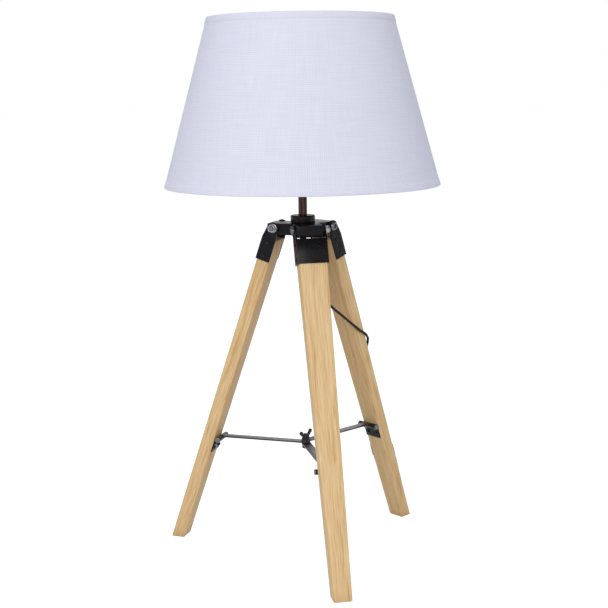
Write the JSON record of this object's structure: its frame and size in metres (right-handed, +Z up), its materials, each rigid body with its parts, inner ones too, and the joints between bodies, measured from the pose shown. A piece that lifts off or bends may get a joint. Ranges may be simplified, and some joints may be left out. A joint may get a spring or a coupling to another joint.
{
  "type": "tripod table lamp",
  "caption": "Table lamp on splayed wooden tripod legs pinned to a steel hub, with a flat strip spreader and wing nut below and a tapered fabric shade over a globe bulb.",
  "frame": {"origin": "on the table, under the pole's axis", "axes": "+Z up along the pole, -Y towards the front leg, +X to the right"},
  "size_m": [0.3599, 0.5337, 0.5945],
  "materials": {
    "leg_wood": "clear matt lacquer",
    "black_steel": "black satin powder coat",
    "dark_hardware": "black zinc",
    "bright_hardware": "zinc plate",
    "pole_steel": "dark bronze plate",
    "strip_steel": "dark oiled steel",
    "holder_plastic": "smooth black",
    "holder_core": "glazed white",
    "contact_brass": "plain brass",
    "bulb_metal": "bright",
    "bulb_glass": "opal white",
    "shade_fabric": "fine white weave on a stiff lining",
    "white_wire": "white coat",
    "cord_rubber": "soft black",
    "tie_plastic": "soft black"
  },
  "bodies": {
    "stand": {"leg_front": "leg_wood", "leg_left": "leg_wood", "leg_right": "leg_wood", "leg_bracket_front": "black_steel", "leg_bracket_left": "black_steel", "leg_bracket_right": "black_steel", "bracket_screws": "dark_hardware", "hub": "black_steel", "collar": "black_steel", "pivot_bolts": "bright_hardware", "pivot_nuts": "bright_hardware", "pivot_washers": "bright_hardware", "pole": "pole_steel", "pole_washer": "bright_hardware", "pole_nut": "bright_hardware", "strain_relief": "cord_rubber", "lampholder_cap": "holder_plastic", "lampholder_body": "holder_plastic", "lampholder_core": "holder_core", "screw_shell": "contact_brass", "centre_contact": "contact_brass", "shade_panel": "shade_fabric", "shade_hem_lower": "shade_fabric", "shade_hem_upper": "shade_fabric", "shade_fitter": "white_wire", "shade_top_wire": "white_wire", "strut_front": "strip_steel", "strut_left": "strip_steel", "strut_right": "strip_steel", "hinge_leaf_front": "black_steel", "hinge_leaf_left": "black_steel", "hinge_leaf_right": "black_steel", "hinge_pins": "bright_hardware", "leaf_screws": "bright_hardware", "centre_bolt": "dark_hardware", "centre_washers": "strip_steel", "cord_lead": "cord_rubber", "cord_hank": "cord_rubber", "cord_tie": "tie_plastic", "cord_tail": "cord_rubber", "plug_relief": "cord_rubber", "plug_body": "cord_rubber", "plug_blades": "contact_brass"},
    "wing_nut": {"wing_nut": "dark_hardware"},
    "shade_ring": {"shade_ring": "holder_plastic"},
    "bulb": {"bulb_cap": "bulb_metal", "bulb_globe": "bulb_glass"},
    "switch_bar": {"switch_bar": "holder_plastic"}
  },
  "joints": [
    {"name": "wing_nut_turn", "type": "hinge", "parent": "stand", "child": "wing_nut", "pos_m": [0, 0, 0.13], "axis": [0, 0, 1], "continuous": true},
    {"name": "shade_ring_turn", "type": "hinge", "parent": "stand", "child": "shade_ring", "pos_m": [0, 0, 0.45], "axis": [0, 0, 1], "continuous": true},
    {"name": "bulb_turn", "type": "hinge", "parent": "stand", "child": "bulb", "pos_m": [0, 0, 0.45], "axis": [0, 0, 1], "continuous": true},
    {"name": "switch_press", "type": "slide", "parent": "stand", "child": "switch_bar", "axis": [1, 0, 0], "range_m": [0, 0.004]}
  ]
}
